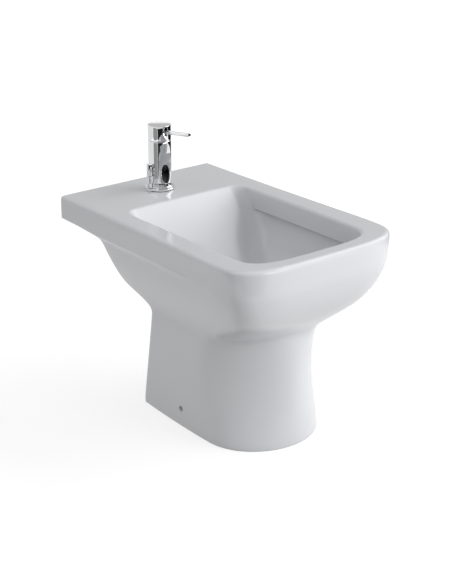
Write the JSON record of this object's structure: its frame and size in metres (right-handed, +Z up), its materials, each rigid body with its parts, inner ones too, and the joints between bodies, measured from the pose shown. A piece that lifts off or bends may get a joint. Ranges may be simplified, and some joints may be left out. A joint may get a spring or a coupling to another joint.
{
  "type": "floor standing bidet",
  "caption": "Floor standing bidet in glazed ceramic with a rounded rectangular bowl, flared pedestal, single lever mixer tap and lift rod pop-up waste.",
  "frame": {"origin": "on the floor, in the symmetry plane, half way along the overall depth", "axes": "+Z up, +Y towards the wall, -Y towards the user, +X to the right as seen from the front"},
  "size_m": [0.3798, 0.576, 0.531],
  "materials": {
    "glaze": "glossy white glaze",
    "chrome": "polished chrome plate",
    "steel": "plain drawn steel",
    "brass": "bare turned brass",
    "rubber": "black rubber",
    "grey_plastic": "pale moulded plastic",
    "black_plastic": "black moulded plastic"
  },
  "bodies": {
    "root": {"bidet_body": "glaze", "tap_base_seal": "rubber", "tap_base_ring": "chrome", "tap_body": "chrome", "tap_fixing_stud": "brass", "tap_fixing_seal": "rubber", "tap_fixing_plate": "brass", "tap_fixing_nut": "brass", "cartridge_body": "grey_plastic", "cartridge_nut": "brass", "spray_seat": "black_plastic", "lift_rod_bush": "grey_plastic", "pivot_seal": "rubber", "pivot_nut": "chrome", "waste_flange": "chrome", "waste_flange_seal": "rubber", "waste_seal": "rubber", "waste_body": "brass", "tail_nut": "chrome", "waste_tail": "chrome"},
    "handle": {"cartridge_collar": "grey_plastic", "spindle_pin": "steel", "handle_cap": "chrome"},
    "lever": {"cartridge_spindle": "brass", "lever_hub": "steel", "lever_pin": "chrome", "lever_screw": "steel"},
    "spray": {"spray_ball": "black_plastic", "spray_insert": "rubber"},
    "lift": {"lift_knob": "chrome", "lift_rod": "chrome", "upper_clamp": "steel", "upper_clamp_screws": "steel", "link_rod": "steel"},
    "pivot": {"pivot_rod": "steel", "lower_clamp": "steel", "lower_clamp_screw": "steel"},
    "plug": {"plug_cap": "chrome", "plug_seal": "rubber", "plug_stem": "grey_plastic"}
  },
  "joints": [
    {"name": "handle_turn", "type": "hinge", "parent": "root", "child": "handle", "pos_m": [0, 0.205, 0.5], "axis": [0, 0, 1], "range_deg": [-50, 50]},
    {"name": "lever_tilt", "type": "hinge", "parent": "handle", "child": "lever", "pos_m": [0, 0.205, 0.506], "axis": [-1, 0, 0], "range_deg": [0, 12]},
    {"name": "spray_tilt", "type": "hinge", "parent": "root", "child": "spray", "pos_m": [0, 0.19427, 0.44467], "axis": [1, 0, 0], "range_deg": [-12, 12]},
    {"name": "lift_slide", "type": "slide", "parent": "root", "child": "lift", "axis": [0, 0, 1], "range_m": [0, 0.035]},
    {"name": "pivot_swing", "type": "hinge", "parent": "root", "child": "pivot", "pos_m": [0, -0.033, 0.206], "axis": [1, 0, 0], "range_deg": [0, 15.5]},
    {"name": "plug_slide", "type": "slide", "parent": "root", "child": "plug", "axis": [0, 0, 1], "range_m": [-0.0073, 0]}
  ],
  "couplings": [
    {"joint": "pivot_swing", "follows": "lift_slide", "rad_per_m": 7.7155},
    {"joint": "plug_slide", "follows": "lift_slide", "ratio": -0.20769}
  ]
}
